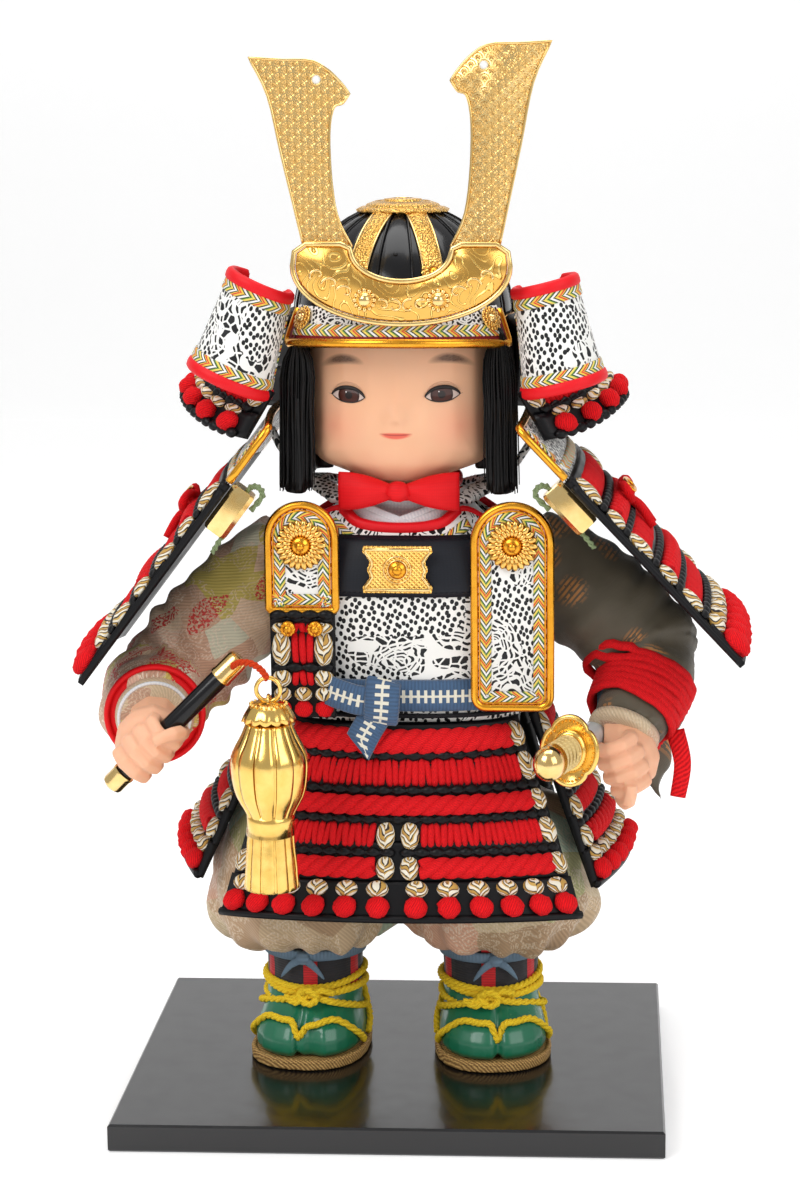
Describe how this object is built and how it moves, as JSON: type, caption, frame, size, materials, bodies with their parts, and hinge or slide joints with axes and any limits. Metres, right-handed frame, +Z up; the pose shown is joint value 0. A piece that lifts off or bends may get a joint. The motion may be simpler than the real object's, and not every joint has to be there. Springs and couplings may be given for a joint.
{
  "type": "festival warrior doll",
  "caption": "Child doll in laced samurai armour with a horned helmet, holding a tasselled baton and a sheathed sword, standing on a black lacquered board.",
  "frame": {"origin": "centre of the board's underside, where the piece rests on a shelf", "axes": "+Z up; the doll looks along -Y; +X is the doll's left"},
  "size_m": [0.2207, 0.1506, 0.3515],
  "materials": {
    "board_lacquer": "gloss black lacquer",
    "straw": "matte plaited straw",
    "green_shoe": "semi-gloss green",
    "yellow_rope": "matte twisted cord",
    "black_cloth": "matte black cloth with red stripes",
    "trouser_brocade": "satin brocade",
    "straw_body": "matte bundled straw",
    "printed_leather": "matte white with black pattern",
    "braid": "matte woven braid",
    "black_satin": "satin black",
    "gilt": "polished gilt",
    "white_cloth": "matte white cloth",
    "blue_cloth": "matte ribbed blue cloth",
    "sleeve_brocade": "satin brocade with a woven pattern",
    "olive_brocade": "satin dark olive with woven gold",
    "red_lacing": "matte red cord lacing over black lames",
    "red_cloth": "matte red cloth",
    "skin": "matte painted",
    "black_hair": "satin black silk hair",
    "helmet_lacquer": "gloss black lacquer",
    "gold_thread": "satin gold thread",
    "gold_grip": "gold wrapped",
    "steel_blade": "brushed",
    "pale_scabbard": "satin pale blue-grey lacquer",
    "black_baton": "gloss black lacquer",
    "orange_cord": "matte twisted cord"
  },
  "bodies": {
    "stand": {"base_board": "board_lacquer", "right_sandal_sole": "straw", "left_sandal_sole": "straw", "right_shoe": "green_shoe", "left_shoe": "green_shoe", "right_sandal_rope": "yellow_rope", "left_sandal_rope": "yellow_rope", "right_gaiter": "black_cloth", "left_gaiter": "black_cloth", "trousers": "trouser_brocade", "body_core": "straw_body", "cuirass": "printed_leather", "neck_binding": "braid", "chest_band": "black_satin", "chest_ornament": "gilt", "under_collar": "white_cloth", "waist_sash": "blue_cloth", "right_shoulder_strap": "printed_leather", "left_shoulder_strap": "printed_leather", "right_sleeve": "sleeve_brocade", "left_sleeve": "olive_brocade", "right_hand": "skin", "left_hand": "skin", "arm_wrap": "red_cloth", "scabbard": "pale_scabbard"},
    "head": {"head": "skin", "hair": "black_hair", "chin_bow": "red_cloth"},
    "helmet": {"helmet_bowl": "helmet_lacquer", "crown_plate": "gilt", "visor": "printed_leather", "neck_guard": "red_lacing", "right_turnback": "printed_leather", "left_turnback": "printed_leather", "crest_base": "gilt"},
    "right_horn": {"right_horn": "gilt"},
    "left_horn": {"left_horn": "gilt"},
    "right_shoulder_guard": {"right_guard_lames": "red_lacing", "right_guard_top_plate": "printed_leather", "right_guard_clip": "gilt"},
    "left_shoulder_guard": {"left_guard_lames": "red_lacing", "left_guard_top_plate": "printed_leather", "left_guard_clip": "gilt"},
    "right_breast_guard": {"right_breast_plate": "printed_leather", "right_breast_lames": "red_lacing", "right_breast_rosette": "gilt"},
    "left_breast_guard": {"left_breast_plate": "printed_leather", "left_breast_rosette": "gilt"},
    "front_skirt": {"front_skirt_panel": "red_lacing"},
    "back_skirt": {"back_skirt_panel": "red_lacing"},
    "right_skirt": {"right_skirt_panel": "red_lacing"},
    "left_skirt": {"left_skirt_panel": "red_lacing"},
    "baton": {"baton_stick": "black_baton", "baton_top_cap": "gilt", "baton_end_cap": "gilt"},
    "tassel_cord": {"tassel_cord": "orange_cord"},
    "tassel": {"tassel": "gold_thread"},
    "sword": {"sword_grip": "gold_grip", "sword_guard": "gilt", "sword_blade": "steel_blade"}
  },
  "joints": [
    {"name": "head_turn", "type": "hinge", "parent": "stand", "child": "head", "pos_m": [0.0025, 0.004, 0.2], "axis": [0, 0, 1], "range_deg": [-1.5, 2]},
    {"name": "helmet_lift", "type": "slide", "parent": "head", "child": "helmet", "axis": [0, 0, 1], "range_m": [0, 0.06]},
    {"name": "right_horn_pull", "type": "slide", "parent": "helmet", "child": "right_horn", "axis": [0, 0, 1], "range_m": [0, 0.012]},
    {"name": "left_horn_pull", "type": "slide", "parent": "helmet", "child": "left_horn", "axis": [0, 0, 1], "range_m": [0, 0.012]},
    {"name": "right_shoulder_guard_swing", "type": "hinge", "parent": "stand", "child": "right_shoulder_guard", "pos_m": [-0.0375, -0.005, 0.2325], "axis": [0, 1, 0], "range_deg": [0, 8]},
    {"name": "left_shoulder_guard_swing", "type": "hinge", "parent": "stand", "child": "left_shoulder_guard", "pos_m": [0.0425, -0.005, 0.2325], "axis": [0, -1, 0], "range_deg": [0, 3]},
    {"name": "right_breast_guard_swing", "type": "hinge", "parent": "stand", "child": "right_breast_guard", "pos_m": [-0.0285, -0.03, 0.207], "axis": [-1, 0, 0], "range_deg": [0, 20]},
    {"name": "left_breast_guard_swing", "type": "hinge", "parent": "stand", "child": "left_breast_guard", "pos_m": [0.0395, -0.0291, 0.207], "axis": [-1, 0, 0], "range_deg": [0, 20]},
    {"name": "front_skirt_swing", "type": "hinge", "parent": "stand", "child": "front_skirt", "pos_m": [0.0025, -0.0296, 0.1327], "axis": [-1, 0, 0], "range_deg": [0, 15]},
    {"name": "back_skirt_swing", "type": "hinge", "parent": "stand", "child": "back_skirt", "pos_m": [0.0025, 0.0376, 0.1327], "axis": [1, 0, 0], "range_deg": [0, 20]},
    {"name": "right_skirt_swing", "type": "hinge", "parent": "stand", "child": "right_skirt", "pos_m": [-0.0411, 0.005, 0.1327], "axis": [0, 1, 0], "range_deg": [0, 15]},
    {"name": "left_skirt_swing", "type": "hinge", "parent": "stand", "child": "left_skirt", "pos_m": [0.0461, 0.005, 0.1327], "axis": [0, -1, 0], "range_deg": [0, 15]},
    {"name": "baton_slide", "type": "slide", "parent": "stand", "child": "baton", "axis": [0.7071, 0, 0.7071], "range_m": [-0.015, 0]},
    {"name": "tassel_cord_swing", "type": "hinge", "parent": "baton", "child": "tassel_cord", "pos_m": [-0.0477, -0.059, 0.1588], "axis": [0, -1, 0], "range_deg": [0, 30]},
    {"name": "tassel_swing", "type": "hinge", "parent": "tassel_cord", "child": "tassel", "pos_m": [-0.0355, -0.066, 0.1573], "axis": [-1, 0, 0], "range_deg": [-3, 40]},
    {"name": "sword_draw", "type": "slide", "parent": "stand", "child": "sword", "axis": [-0.258, -0.963, 0.0785], "range_m": [0, 0.1]}
  ]
}
